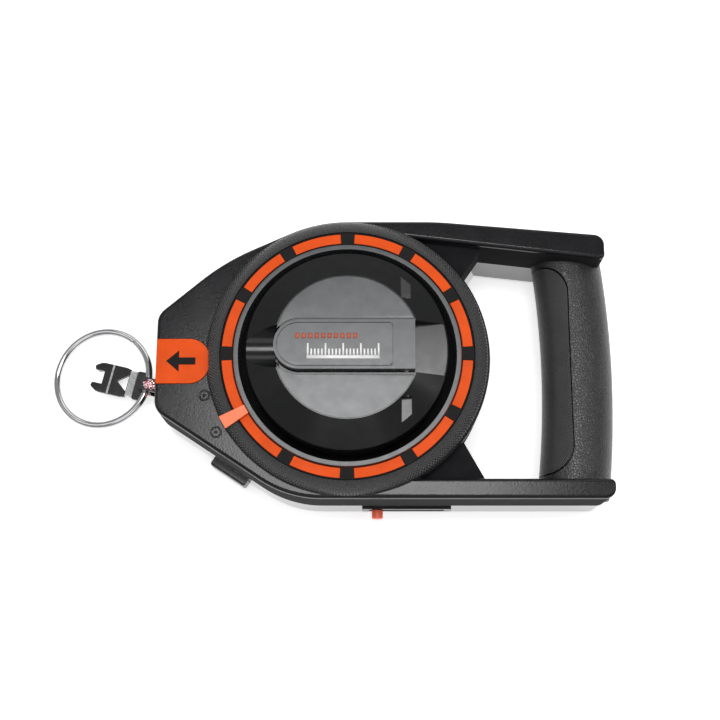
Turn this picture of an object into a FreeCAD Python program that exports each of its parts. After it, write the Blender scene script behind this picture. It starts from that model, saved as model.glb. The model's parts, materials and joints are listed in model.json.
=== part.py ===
"""Surveyor's tape reel with a D handle, a folding crank, a 3:1 rewind gear and a lock ring.

Millimetres. The spool turns about Z through the origin, the case lies on its back at z = 0,
+X points to the handle, +Y to the upper rail and +Z out of the crank side.
"""
import FreeCAD, Part
import math
import os

V = FreeCAD.Vector
X_AXIS, Y_AXIS, Z_AXIS = V(1, 0, 0), V(0, 1, 0), V(0, 0, 1)

# ---- driving dimensions ------------------------------------------------------------------
# case
REAR_Z, PARTING_Z, FRONT_Z = 0.0, 27.0, 57.0
GUSSET_Z = 50.0
WALL = 2.6
FLOOR = 2.6
DISC_R = 78.3                       # round part of the case, about the spool's axis
NOSE_X = -105.0
NOSE_TOP_Y, NOSE_LOW_Y = 23.8, -30.1
NOSE_CORNER_R = 10.0
SHOULDER, SHOULDER_R = (-68.7, 54.65), 120.0    # the slanted upper wall is gently bowed
LOW_CORNER_R = 60.0                 # between the slanted lower wall and the straight base
BACK_ROUND = 2.5
EDGE_ROUND = 2.0
RAIL_END_X = 144.0
RAIL_END_R = 6.0
TOP_RAIL_BREAK = (50.0, 78.3)       # where the upper rail leaves the round part
TOP_RAIL_END_Y = 70.3
TOP_RAIL_INNER = ((66.0, 64.9), (144.0, 55.8))
LOW_RAIL_INNER_Y = -67.5
GUSSET_TOP = ((62.0, 44.5), (75.0, 63.5))
GUSSET_LOW = ((62.0, -44.5), (74.5, -67.0))
# ring round the crank well
WELL_R = 59.5
WELL_FLOOR_Z = 44.0
WELL_FLOOR_T = 2.0
LINER_T = 0.8
GROOVE_IN_R, GROOVE_OUT_R = 61.3, 69.6
GROOVE_FLOOR_Z = 52.0
RIM_Z = 62.8
RIM_OUT_R = 62.0
BEZEL_Z, BEZEL_T = 62.3, 1.2
BEZEL_IN_R, BEZEL_OUT_R = 62.3, 69.3
BEZEL_SKIRT_T = 0.7
RING_GAP = 0.3
WINDOW_IN_R, WINDOW_OUT_R = 62.8, 68.6
WINDOW_GAP = 0.25                   # dark line round each orange segment
SPOKE_DEG = 6.4
SEGMENTS = 12
TAB_DEG = 210.0
LOCK_TRAVEL_DEG = 13.5
# crank
HUB_EDGE_R, HUB_EDGE_Z = 54.5, 69.6
HUB_TOP_R, HUB_TOP_Z = 39.5, 78.0
HUB_SKIRT_Z = 47.0
HUB_WALL = 2.6
CHANNEL_W, CHANNEL_Z = 28.6, 70.0
HANDLE_W, HANDLE_TOP_Z, HANDLE_LOW_Z = 27.0, 82.5, 70.5
HANDLE_TIP_X = -39.0
LABEL_END_X = 24.0
HINGE_X, HINGE_Z = 31.6, 75.0
HINGE_END = 4.5                     # from the hinge axis to the handle's square end
HINGE_PIN_R, HINGE_PIN_HALF = 1.75, 27.0
RUNNING = 0.05                      # radial clearance of everything that turns on a pin
# rewind gear: fixed ring, planets on the crank, sun on the spool
MODULE = 1.5
RING_TEETH, SUN_TEETH, PLANET_TEETH = 48, 24, 12
PRESSURE_DEG = 25.0
GEAR_Z, GEAR_T = 27.6, 8.4
PLANETS = 3
CARRIER_R = 33.0
CARRIER_Z, CARRIER_T = 36.6, 3.2
# spool
CORE_R = 24.0
PACK_R = 48.0
FLANGE_R, TOOTH_R = 63.0, 66.0
RATCHET_TEETH = 24
TAPE_W = 13.0
TAPE_T = 0.5
TAPE_Z = 15.0                       # middle of the tape's width
FLANGE_T = 2.0
AXLE_R = 4.0
AXLE_TOP_Z = 64.0
BUSH_R = 6.5
# tape path
MOUTH = (-105.0, -11.0)
MOUTH_DEPTH = 8.0
MOUTH_LOW, MOUTH_HIGH, MOUTH_HALF_T = 7.0, 4.2, 8.6     # its opening about the tape, in Y and in Z
PATH_HALF, PATH_HALF_T = 2.2, 7.4                       # the tape's way through the mouth frame
PATH_START, PATH_END = 60.0, 120.0
PACK_GAP = 0.6
# grip
GRIP_TOP_Y, GRIP_LOW_Y = 60.6, -67.4
GRIP_X, GRIP_BOW = 125.3, 4.6
GRIP_RX, GRIP_RZ, GRIP_Z = 19.8, 17.6, 28.6
GRIP_SKIN = 3.0
PAD_X = 123.6
PAD_TOP_Y, PAD_LOW_Y = 56.0, -62.5
PAD_CORNER_R = 16.0
PAD_GROOVE = 0.7
# lock bolt
BOLT_DEG = 245.0
BOLT_TRAVEL = 2.4
BOLT_PIN_R = 1.2
BOLT_PIN_AT = 66.2
# tape end
EYE_OUT = 6.0                       # from the mouth to the hook's pivot, along the tape
HOOK_Z, HOOK_T = 9.0, 3.0
HOOK_W = 17.6
HOOK_TURN_DEG = 8.0                 # how far the hook hangs off the tape's line
HOOK_TIP = 39.5                     # from the hook's pivot to its tip
ROOT_START, ROOT_END, ROOT_W = 7.0, 14.0, 17.0
SLEEVE_LEN, SLEEVE_W = 4.0, 16.0
BAR_AT, BAR_LEN, BAR_T = 28.0, 1.1, 0.8
NOTCH_LEN, NOTCH_HALF = 6.3, 3.8
OPENING_LEN, OPENING_HALF = 6.2, 5.0
RING_R, RING_WIRE_R = 28.3, 1.85
TUNNEL_AT = 5.9                     # from the hook's pivot to the ring's tunnel
TUNNEL_Z = 12.9
# brake button and thumb lock
BRAKE_X, BRAKE_Z = 16.6, 17.0
THUMB_C = (-67.5, -57.6)
THUMB_LEN, THUMB_OUT = 23.5, 4.6
THUMB_Z0, THUMB_Z1 = 4.6, 16.0
BUTTON_IN = 5.0                     # how far the button reaches inside the wall


# smaller fits, worked from the sizes above
RING_OUT_R, RING_TOP_Z = 77.2, 62.6
BADGE_X0, BADGE_X1, BADGE_Y0, BADGE_Y1 = -104.6, -75.6, -15.6, 9.4
BADGE_R, BADGE_T = 11.0, 1.6
SCREW_TIP_Z = 46.0
ROD_R, ROD_X, ROD_Y0, ROD_LEN = 4.0, 128.5, -74.5, 138.5
ADDENDUM, DEDENDUM, BACKLASH = 1.15, 1.75, 0.42
RING_GEAR_R = 44.0
PLANET_PIN_R = 2.5
SLOT_W, SLOT_Z = 5.4, 72.4
SCOOP_R, SCOOP_Z = 12.0, 80.6
TAB_IN_R, TAB_OUT_R, TAB_T = 62.5, 77.3, 2.2
BOLT_TIP_W = 3.6
BOLT_Z0, BOLT_Z1 = 20.8, 24.6
BOLT_PIN_TOP = 55.0
BRAKE_TRAVEL = 2.4
TRACK_X0, TRACK_X1, TRACK_H = 8.0, 58.0, 11.0
SLIDER_OUT, SLIDER_R, SLIDER_STEM_R = 4.6, 3.2, 1.6
ROLLER_T, ROLLER_R, ROLLER_PIN_R = 64.0, 3.2, 1.25
EYE_PIN_R, EYE_ARM_R = 1.2, 3.8
FORK_END = 9.6
RING_TILT_DEG = 10.6
RING_SCREW_R, RING_SCREW_AT = 1.25, 41.8
CARRIER_SCREW_R, CARRIER_SCREW_AT = 1.0, 7.2
HUB_STEM_R = 10.0


# ---- helpers -----------------------------------------------------------------------------
def polar(r, deg, z=0.0):
    return V(r * math.cos(math.radians(deg)), r * math.sin(math.radians(deg)), z)


def cyl(r, z0, z1, x=0.0, y=0.0):
    return Part.makeCylinder(r, z1 - z0, V(x, y, z0), Z_AXIS)


def rod(r, length, at, along):
    return Part.makeCylinder(r, length, at, along)


def box(x0, x1, y0, y1, z0, z1):
    return Part.makeBox(x1 - x0, y1 - y0, z1 - z0, V(x0, y0, z0))


def prism(points, z0, z1):
    wire = Part.makePolygon([V(x, y, z0) for x, y in points] + [V(points[0][0], points[0][1], z0)])
    return Part.Face(wire).extrude(V(0, 0, z1 - z0))


def turned(profile, start=0.0, sweep=360.0):
    """A closed profile of (radius, z) pairs turned about Z."""
    wire = Part.makePolygon([V(r, 0, z) for r, z in profile] + [V(profile[0][0], 0, profile[0][1])])
    solid = Part.Face(wire).revolve(V(0, 0, 0), Z_AXIS, sweep)
    solid.rotate(V(0, 0, 0), Z_AXIS, start)
    return solid


def spun(shape, deg, at=V(0, 0, 0), axis=Z_AXIS):
    copy = shape.copy()
    copy.rotate(at, axis, deg)
    return copy


def union(shapes):
    first = shapes[0]
    return first.fuse(shapes[1:]).removeSplitter() if len(shapes) > 1 else first


def rounded_outline(corners):
    """A wire through (x, y, radius) corners, each rounded by a tangent arc."""
    n = len(corners)
    edges, ends = [], []
    for i in range(n):
        p = V(corners[i][0], corners[i][1], 0)
        a = V(corners[i - 1][0], corners[i - 1][1], 0) - p
        b = V(corners[(i + 1) % n][0], corners[(i + 1) % n][1], 0) - p
        a.normalize()
        b.normalize()
        r = corners[i][2]
        if r <= 0:
            ends.append((p, None, p))
            continue
        half = a.getAngle(b) / 2
        cut = r / math.tan(half)
        bisector = a + b
        bisector.normalize()
        middle = p + bisector * (r / math.sin(half) - r)
        ends.append((p + a * cut, middle, p + b * cut))
    for i in range(n):
        start, middle, end = ends[i]
        if middle is not None:
            edges.append(Part.Arc(start, middle, end).toShape())
        following = ends[(i + 1) % n][0]
        if (following - end).Length > 1e-6:
            edges.append(Part.LineSegment(end, following).toShape())
    return Part.Wire(Part.__sortEdges__(edges))


def plate(corners, z0, z1):
    face = Part.Face(rounded_outline(corners))
    face.translate(V(0, 0, z0))
    return face.extrude(V(0, 0, z1 - z0))


def tangent_from(px, py, r, side):
    """Where a line from (px, py) touches the circle of radius r about the origin."""
    d = math.hypot(px, py)
    heading = math.atan2(-py, -px) + side * math.asin(r / d)
    reach = math.sqrt(d * d - r * r)
    return px + reach * math.cos(heading), py + reach * math.sin(heading)


def save(name, shape):
    shape.exportStep(f"parts/{name}.step")
    box_ = shape.BoundBox
    state = "" if shape.isValid() else "  NOT VALID"
    sizes = f"volume {shape.Volume:10.1f}  z {box_.ZMin:6.2f}..{box_.ZMax:6.2f}"
    print(f"{name:22s} solids {len(shape.Solids):2d}  {sizes}{state}")


# ---- case outline ------------------------------------------------------------------------
def rail_inner_y(x):
    (x0, y0), (x1, y1) = TOP_RAIL_INNER
    return y0 + (y1 - y0) * (x - x0) / (x1 - x0)


def outline(inset=0.0):
    """Nose, round part and both rails as one outline, drawn inset by a wall's thickness."""
    touch = tangent_from(SHOULDER[0], SHOULDER[1], DISC_R, 1)
    corners = [
        (NOSE_X, NOSE_TOP_Y, NOSE_CORNER_R),
        (NOSE_X, NOSE_LOW_Y, NOSE_CORNER_R),
        (-31.8, -DISC_R, LOW_CORNER_R),
        (RAIL_END_X, -DISC_R, RAIL_END_R),
        (RAIL_END_X, LOW_RAIL_INNER_Y, 3.0),
        (30.0, LOW_RAIL_INNER_Y, 0),
        (30.0, rail_inner_y(30.0), 0),
        (TOP_RAIL_INNER[1][0], TOP_RAIL_INNER[1][1], 3.0),
        (RAIL_END_X, TOP_RAIL_END_Y, RAIL_END_R),
        (TOP_RAIL_BREAK[0], TOP_RAIL_BREAK[1], 150.0),
        (0.0, DISC_R, 0),
        (-20.0, 60.0, 0),
        (touch[0], touch[1], 0),
        (SHOULDER[0], SHOULDER[1], SHOULDER_R),
    ]
    face = Part.Face(rounded_outline(corners))
    disc = Part.Face(Part.Wire(Part.makeCircle(DISC_R, V(0, 0, 0), Z_AXIS)))
    whole = face.fuse(disc).removeSplitter().Faces[0]
    if inset:
        whole = whole.makeOffset2D(-inset).Faces[0]
    return whole


def gusset_faces(inset=0.0):
    top = [(40.0, 44.0), GUSSET_TOP[0], GUSSET_TOP[1], (60.0, 68.0), (40.0, 68.0)]
    low = [(40.0, -44.0), (40.0, -72.0), (60.0, -72.0), GUSSET_LOW[1], GUSSET_LOW[0]]
    found = []
    for corners in (top, low):
        wire = Part.makePolygon([V(x, y, 0) for x, y in corners + corners[:1]])
        face = Part.Face(wire)
        found.append(face.makeOffset2D(-inset).Faces[0] if inset else face)
    return found


def slab(face, z0, z1):
    moved = face.copy()
    moved.translate(V(0, 0, z0))
    return moved.extrude(V(0, 0, z1 - z0))


SCREWS = [(-91.0, 13.0), (-88.0, -30.0), (-36.0, 65.6), (-44.0, -63.5), (56.0, 70.4), (60.0, -72.9),
          (104.0, 66.9), (104.0, -72.9)]
BOSS_R, SCREW_R, SCREW_HEAD_R, SCREW_HEAD_Z = 3.9, 1.5, 2.9, 8.0


def mouth_block(proud):
    """A block through the nose round the tape's way out, standing proud of the nose."""
    return box(NOSE_X - proud, NOSE_X + MOUTH_DEPTH, MOUTH[1] - MOUTH_LOW, MOUTH[1] + MOUTH_HIGH,
               TAPE_Z - MOUTH_HALF_T, TAPE_Z + MOUTH_HALF_T)


def mouth_cut():
    """The slot in the nose that the tape leaves through, with room for its wipers and frame."""
    return mouth_block(2.0)


def tape_heading():
    touch = tangent_from(MOUTH[0], MOUTH[1], PACK_R + PACK_GAP, -1)
    away = V(MOUTH[0] - touch[0], MOUTH[1] - touch[1], 0)
    away.normalize()
    return V(touch[0], touch[1], 0), away


def thumb_frame():
    """Middle, outward normal and direction along the slanted lower wall."""
    along = V(-31.8 - NOSE_X, -DISC_R - NOSE_LOW_Y, 0)
    along.normalize()
    outward = V(along.y, -along.x, 0)
    t = V(THUMB_C[0] - NOSE_X, THUMB_C[1] - NOSE_LOW_Y, 0).dot(along)
    on_wall = V(NOSE_X, NOSE_LOW_Y, 0) + along * t
    return on_wall, outward, along


def wall_block(along0, along1, out0, out1, z0, z1):
    """A block on the slanted lower wall: along the wall, out of it, and in Z."""
    at, outward, along = thumb_frame()
    points = [at + along * a + outward * o for a, o in
              ((along0, out0), (along1, out0), (along1, out1), (along0, out1))]
    return prism([(p.x, p.y) for p in points], z0, z1)


def posts_for(z0, z1, r):
    return [cyl(r, z0, z1, x, y) for x, y in SCREWS]


# ---- case --------------------------------------------------------------------------------
def eased(solid, z, size):
    """Round the outer edges that lie in the plane z."""
    rims = [e for e in solid.Edges if abs(e.BoundBox.ZMin - z) < 1e-4 and abs(e.BoundBox.ZMax - z) < 1e-4]
    return solid.makeFillet(size, rims)


def shell_block(z0, z1, gusset_z1, round_z, round_r):
    body = eased(slab(outline(), z0, z1), round_z, round_r)
    return union([body] + [slab(f, z0, gusset_z1) for f in gusset_faces()])


def cavity(z0, z1, gusset_z1):
    return union([slab(outline(WALL), z0, z1)] + [slab(f, z0, gusset_z1) for f in gusset_faces(WALL)])


def bosses(z0, z1):
    kept = slab(outline(), z0, z1)
    return [post.common(kept) for post in posts_for(z0, z1, BOSS_R)]


def slider_slot():
    half = SLIDER_STEM_R + 0.6
    return box(TRACK_X0 + 4, TRACK_X1 - 4, -DISC_R - 3, -DISC_R + WALL + 1, BRAKE_Z - half, BRAKE_Z + half)


def rear_shell():
    body = shell_block(REAR_Z, PARTING_Z, PARTING_Z, REAR_Z, BACK_ROUND)
    body = body.cut(cavity(FLOOR, PARTING_Z + 1, PARTING_Z + 1))
    seat = cyl(9.0, FLOOR, 5.4)
    body = body.fuse([seat] + bosses(REAR_Z + 0.5, PARTING_Z))
    pins = [cyl(3.0, FLOOR, 6.0, p.x, p.y) for p in roller_places()]
    frame = box(NOSE_X + 1, NOSE_X + MOUTH_DEPTH + 2, MOUTH[1] - MOUTH_LOW - 2, MOUTH[1] + MOUTH_HIGH + 2,
                FLOOR, PARTING_Z - 1)
    anchors = [wall_block(a, a + 2.4, -8.0, -1.0, FLOOR, 14.0) for a in (-17.0, 14.6)]
    body = body.fuse(pins + [frame] + anchors)
    holes = [cyl(AXLE_R, -1, 10), mouth_cut(), tape_way(), slider_slot()]
    holes += posts_for(-1, SCREW_HEAD_Z, SCREW_HEAD_R + 0.3)
    holes += posts_for(-1, PARTING_Z + 1, SCREW_R)
    holes += [cyl(ROLLER_PIN_R, 2, 10, p.x, p.y) for p in roller_places()]
    half = THUMB_LEN / 2 + 0.3
    holes += [wall_block(-half, half, -6.0, 3.0, THUMB_Z0 - 0.3, THUMB_Z1 + 0.3)]
    holes += [rod_hole()]
    return body.cut(holes)


def bead():
    """The rounded outside of the raised ring, from the case's face up to the ring's inner edge."""
    steps = 9
    wide, tall = RING_OUT_R - GROOVE_OUT_R, RING_TOP_Z - FRONT_Z + 0.3
    turns = [math.pi / 2 * i / steps for i in range(steps + 1)]
    return [(GROOVE_OUT_R + wide * math.cos(t), RING_TOP_Z - tall + tall * math.sin(t)) for t in turns]


def front_shell():
    body = shell_block(PARTING_Z, FRONT_Z, GUSSET_Z, FRONT_Z, EDGE_ROUND)
    body = body.cut(cavity(PARTING_Z - 1, FRONT_Z - FLOOR, GUSSET_Z - FLOOR))
    body = body.fuse(bosses(PARTING_Z, FRONT_Z - FLOOR))
    body = body.cut(cyl(GROOVE_OUT_R, WELL_FLOOR_Z, RIM_Z + 5))
    wall_r = WELL_R + LINER_T
    under = GROOVE_FLOOR_Z - WELL_FLOOR_T
    well = turned([
        (13.0, WELL_FLOOR_Z - WELL_FLOOR_T),
        (GROOVE_IN_R, WELL_FLOOR_Z - WELL_FLOOR_T),
        (GROOVE_IN_R, under),
        (GROOVE_OUT_R + 2.0, under),
        (GROOVE_OUT_R + 2.0, FRONT_Z - FLOOR),
        (RING_OUT_R, FRONT_Z - FLOOR),
        *bead(),
        (GROOVE_OUT_R, GROOVE_FLOOR_Z),
        (GROOVE_IN_R, GROOVE_FLOOR_Z),
        (GROOVE_IN_R, RIM_Z - LINER_T),
        (wall_r, RIM_Z - LINER_T),
        (wall_r, WELL_FLOOR_Z),
        (13.0, WELL_FLOOR_Z),
    ])
    body = body.fuse(well)
    slot_half = BOLT_PIN_R + 0.3
    slot = box(BOLT_PIN_AT - BOLT_TRAVEL - slot_half, BOLT_PIN_AT + slot_half, -slot_half, slot_half,
               WELL_FLOOR_Z + 1, GROOVE_FLOOR_Z + 1)
    rails = [box(69.5, 77.5, y0, y0 + 2.0, 20.6, under + 0.5) for y0 in (-5.3, 3.3)]
    body = body.fuse([spun(r, BOLT_DEG) for r in rails])
    holes = [spun(slot, BOLT_DEG), badge_solid(0.3, FRONT_Z - BADGE_T, FRONT_Z + 3)]
    holes += posts_for(PARTING_Z - 1, SCREW_TIP_Z, SCREW_R)
    holes += [cyl(RING_SCREW_R, 40, 46, p.x, p.y) for p in ring_screw_places()]
    holes += [rod_hole()]
    return body.cut(holes)


def well_liner():
    inner, outer = WELL_R, WELL_R + LINER_T
    return turned([(inner, WELL_FLOOR_Z), (outer, WELL_FLOOR_Z), (outer, RIM_Z - LINER_T),
                   (RIM_OUT_R, RIM_Z - LINER_T), (RIM_OUT_R, RIM_Z), (inner, RIM_Z)])


def bezel_ring():
    skirt_r = BEZEL_OUT_R - BEZEL_SKIRT_T
    under = BEZEL_Z - BEZEL_T
    ring = turned([(BEZEL_IN_R, under), (skirt_r, under), (skirt_r, GROOVE_FLOOR_Z + RING_GAP),
                   (BEZEL_OUT_R, GROOVE_FLOOR_Z + RING_GAP), (BEZEL_OUT_R, BEZEL_Z), (BEZEL_IN_R, BEZEL_Z)])
    return ring.cut(windows(0.0, under - 1, BEZEL_Z + 1))


def windows(inset, z0, z1):
    """Twelve openings between the spokes; the two beside the tab run into one."""
    step = 360.0 / SEGMENTS
    ease = math.degrees(inset / WINDOW_OUT_R)
    open_deg = step - SPOKE_DEG
    tab_window = int(TAB_DEG // step)
    found = []
    for i in range(SEGMENTS):
        if i == tab_window:
            continue
        sweep = open_deg + (step if i == tab_window - 1 else 0.0) - 2 * ease
        found.append(window(step * i + SPOKE_DEG / 2 + ease, sweep, inset, z0, z1))
    return found


def window(start, sweep, inset, z0, z1):
    r0, r1 = WINDOW_IN_R + inset, WINDOW_OUT_R - inset
    return turned([(r0, z0), (r1, z0), (r1, z1), (r0, z1)], start, sweep)


def badge_solid(grow, z0, z1):
    """The D-shaped badge: straight at the nose, round towards the crank."""
    y0, y1 = BADGE_Y0 - grow, BADGE_Y1 + grow
    return plate([(BADGE_X0 - 4 * grow, y0, 1.0), (BADGE_X1 + grow, y0, BADGE_R),
                  (BADGE_X1 + grow, y1, BADGE_R), (BADGE_X0 - 4 * grow, y1, 1.0)], z0, z1)


def nose_badge():
    return badge_solid(0, FRONT_Z - BADGE_T, FRONT_Z + 0.5).cut(arrow(0.0, FRONT_Z - 0.1, FRONT_Z + 2))


def arrow(grow, z0, z1):
    """A plain arrow that shows which way the tape runs out."""
    x, y = (BADGE_X0 + BADGE_X1) / 2 - 1, (BADGE_Y0 + BADGE_Y1) / 2
    head = prism([(x - 8, y), (x - 1, y + 6), (x - 1, y - 6)], z0, z1)
    stem = box(x - 1.5, x + 8, y - 2, y + 2, z0, z1)
    return head.fuse(stem).removeSplitter()


def badge_mark():
    return arrow(0.0, FRONT_Z - 0.1, FRONT_Z + 0.7)


def case_screws():
    shapes = []
    for x, y in SCREWS:
        head = cyl(SCREW_HEAD_R, SCREW_HEAD_Z - 3.0, SCREW_HEAD_Z, x, y)
        socket = cyl(1.3, SCREW_HEAD_Z - 3.5, SCREW_HEAD_Z - 1.2, x, y)
        shapes.append(head.fuse(cyl(SCREW_R, SCREW_HEAD_Z, SCREW_TIP_Z, x, y)).cut(socket))
    return Part.makeCompound(shapes)


# ---- grip --------------------------------------------------------------------------------
def barrel(rx, rz):
    """An elliptical bar bowed outward, from rail to rail."""
    half = (GRIP_TOP_Y - GRIP_LOW_Y) / 2 + 6
    middle_y = (GRIP_TOP_Y + GRIP_LOW_Y) / 2
    bend_r = (half * half + GRIP_BOW * GRIP_BOW) / (2 * GRIP_BOW)
    sweep = math.degrees(math.asin(half / bend_r))
    ellipse = Part.Ellipse(V(0, 0, 0), rx, rz)
    edge = ellipse.toShape()
    edge.rotate(V(0, 0, 0), X_AXIS, 90)
    edge.translate(V(GRIP_X + GRIP_BOW, middle_y, GRIP_Z))
    face = Part.Face(Part.Wire(edge))
    pivot = V(GRIP_X + GRIP_BOW - bend_r, middle_y, GRIP_Z)
    face.rotate(pivot, Z_AXIS, -sweep)
    return face.revolve(pivot, Z_AXIS, 2 * sweep)


def between_rails(shape):
    rails = slab(outline(), REAR_Z - 5, FRONT_Z + 5)
    rest = shape.cut(rails)
    return max(rest.Solids, key=lambda s: s.Volume)


def pad_region(grow):
    return plate([(90, PAD_LOW_Y - grow, 0), (PAD_X + grow, PAD_LOW_Y - grow, PAD_CORNER_R),
                  (PAD_X + grow, PAD_TOP_Y + grow, PAD_CORNER_R), (90, PAD_TOP_Y + grow, 0)], -5, 65)


def finger_pad():
    skin = barrel(GRIP_RX, GRIP_RZ).cut(barrel(GRIP_RX - GRIP_SKIN, GRIP_RZ - GRIP_SKIN))
    return between_rails(skin.common(pad_region(0)))


def grip_core():
    whole = between_rails(barrel(GRIP_RX, GRIP_RZ))
    skin = barrel(GRIP_RX + 1, GRIP_RZ + 1).cut(barrel(GRIP_RX - GRIP_SKIN, GRIP_RZ - GRIP_SKIN))
    core = whole.cut(skin.common(pad_region(PAD_GROOVE)))
    return core.cut(rod_hole())


def rod_hole():
    """The grip's rod runs from the lower rail's hollow to the upper one's."""
    return rod(ROD_R, ROD_LEN, V(ROD_X, ROD_Y0, GRIP_Z), Y_AXIS)


def grip_rod():
    return rod_hole()


# ---- rewind gear -------------------------------------------------------------------------
def gear_points(teeth, tip_r, root_r, thickness):
    """Involute outline, with a tooth centred on the X axis."""
    pitch_r = MODULE * teeth / 2
    base_r = pitch_r * math.cos(math.radians(PRESSURE_DEG))
    alpha = math.radians(PRESSURE_DEG)
    at_pitch = thickness / (2 * pitch_r) + math.tan(alpha) - alpha

    def half_angle(r):
        a = math.acos(min(1.0, base_r / r))
        return at_pitch - (math.tan(a) - a)

    low = max(base_r, root_r)
    radii = [root_r] + [low + (tip_r - low) * i / 3 for i in range(1 if root_r >= base_r else 0, 4)]
    flank = [(r, half_angle(max(r, low))) for r in radii]
    points = []
    for k in range(teeth):
        centre = 2 * math.pi * k / teeth
        points += [(r * math.cos(centre - a), r * math.sin(centre - a)) for r, a in flank]
        points += [(r * math.cos(centre + a), r * math.sin(centre + a)) for r, a in reversed(flank)]
    return points


def gear(teeth, z0, z1):
    r = MODULE * teeth / 2
    points = gear_points(teeth, r + ADDENDUM, r - DEDENDUM, math.pi * MODULE / 2 - BACKLASH)
    return prism(points, z0, z1)


def ring_gear():
    r = MODULE * RING_TEETH / 2
    top = GEAR_Z + GEAR_T
    space = prism(gear_points(RING_TEETH, r + DEDENDUM, r - ADDENDUM, math.pi * MODULE / 2 + BACKLASH),
                  GEAR_Z - 1, top + 1)
    space.rotate(V(0, 0, 0), Z_AXIS, 180.0 / RING_TEETH)
    body = cyl(RING_GEAR_R, GEAR_Z, WELL_FLOOR_Z - WELL_FLOOR_T)
    body = body.cut([space, cyl(RING_GEAR_R - 4.5, top, 50)])
    return body.cut([cyl(RING_SCREW_R, top - 3, 50, p.x, p.y) for p in ring_screw_places()])


def ring_screw_places():
    return [polar(RING_SCREW_AT, 60 + 120 * i) for i in range(3)]


def ring_screws():
    shapes = []
    for p in ring_screw_places():
        shank = cyl(RING_SCREW_R, GEAR_Z + GEAR_T - 3, WELL_FLOOR_Z, p.x, p.y)
        shapes.append(shank.fuse(cyl(2.2, WELL_FLOOR_Z, WELL_FLOOR_Z + 1.4, p.x, p.y)))
    return Part.makeCompound(shapes)


def planet_place(i):
    return polar(MODULE * (SUN_TEETH + PLANET_TEETH) / 2, 120.0 * i)


def planet_gear(i):
    body = gear(PLANET_TEETH, GEAR_Z, GEAR_Z + GEAR_T)
    body.rotate(V(0, 0, 0), Z_AXIS, 120.0 * i + 180.0 / PLANET_TEETH)
    body.translate(planet_place(i))
    p = planet_place(i)
    return body.cut(cyl(PLANET_PIN_R + RUNNING, GEAR_Z - 1, GEAR_Z + GEAR_T + 1, p.x, p.y))


def sun_gear():
    sleeve = cyl(10.0, TAPE_Z + TAPE_W / 2 + 0.3 + FLANGE_T, GEAR_Z)
    return gear(SUN_TEETH, GEAR_Z, GEAR_Z + GEAR_T).fuse(sleeve).cut(cyl(BUSH_R, 0, 60)).removeSplitter()


def carrier_screw_place(i):
    return polar(CARRIER_SCREW_AT, 60 + 120 * i)


def planet_carrier():
    holes = [cyl(AXLE_R + 0.5, 30, 50)]
    for i in range(PLANETS):
        p = planet_place(i)
        s = carrier_screw_place(i)
        holes.append(cyl(PLANET_PIN_R, 30, 50, p.x, p.y))
        holes.append(cyl(CARRIER_SCREW_R, 30, 50, s.x, s.y))
        holes.append(cyl(1.8, 30, CARRIER_Z + 1.6, s.x, s.y))
        gap = polar(22.0, 60 + 120 * i)
        holes.append(cyl(6.5, 30, 50, gap.x, gap.y))
    return cyl(CARRIER_R, CARRIER_Z, CARRIER_Z + CARRIER_T).cut(holes)


def planet_pins():
    pins = []
    for i in range(PLANETS):
        p = planet_place(i)
        pins.append(cyl(PLANET_PIN_R, GEAR_Z - 1.6, CARRIER_Z + CARRIER_T, p.x, p.y))
    return Part.makeCompound(pins)


def pin_clips():
    clips = []
    for i in range(PLANETS):
        p = planet_place(i)
        clip = cyl(4.2, GEAR_Z - 1.2, GEAR_Z - 0.4, p.x, p.y)
        clips.append(clip.cut(cyl(PLANET_PIN_R, 20, 40, p.x, p.y)))
    return Part.makeCompound(clips)


def carrier_screws():
    shapes = []
    for i in range(PLANETS):
        s = carrier_screw_place(i)
        head = cyl(1.7, CARRIER_Z + 0.2, CARRIER_Z + 1.6, s.x, s.y)
        shapes.append(head.fuse(cyl(CARRIER_SCREW_R, CARRIER_Z + 1.6, 48.0, s.x, s.y)))
    return Part.makeCompound(shapes)


# ---- spool -------------------------------------------------------------------------------
SPOOL_Z0 = TAPE_Z - TAPE_W / 2 - 0.3
SPOOL_Z1 = TAPE_Z + TAPE_W / 2 + 0.3


def six_holes(r, at_r):
    places = [polar(at_r, 60 * i) for i in range(6)]
    return [cyl(r, 0, 60, p.x, p.y) for p in places]


def spool_core():
    return cyl(CORE_R, SPOOL_Z0, SPOOL_Z1).cut([cyl(BUSH_R, 0, 60)] + six_holes(4.6, 15.5))


def flange_holes():
    return six_holes(9.0, 40.0)


def rear_flange():
    return cyl(FLANGE_R, SPOOL_Z0 - FLANGE_T, SPOOL_Z0).cut([cyl(BUSH_R, 0, 60)] + flange_holes())


def ratchet_flange():
    disc = cyl(TOOTH_R, SPOOL_Z1, SPOOL_Z1 + FLANGE_T).cut([cyl(BUSH_R, 0, 60)] + flange_holes())
    notch = box(FLANGE_R - 0.4, TOOTH_R + 2, -BOLT_TIP_W / 2 - 0.8, BOLT_TIP_W / 2 + 0.8, 10, 40)
    pitch = 360.0 / RATCHET_TEETH
    return disc.cut([spun(notch, BOLT_DEG + pitch * i) for i in range(RATCHET_TEETH)])


def tape_pack():
    return cyl(PACK_R, TAPE_Z - TAPE_W / 2, TAPE_Z + TAPE_W / 2).cut(cyl(CORE_R, 0, 60))


def spool_bush():
    return cyl(BUSH_R, SPOOL_Z0 - FLANGE_T, GEAR_Z + GEAR_T).cut(cyl(AXLE_R + RUNNING, 0, 60))


def axle():
    return cyl(AXLE_R, REAR_Z + 0.6, AXLE_TOP_Z).cut(cyl(2.0, 52.0, AXLE_TOP_Z + 1))


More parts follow.
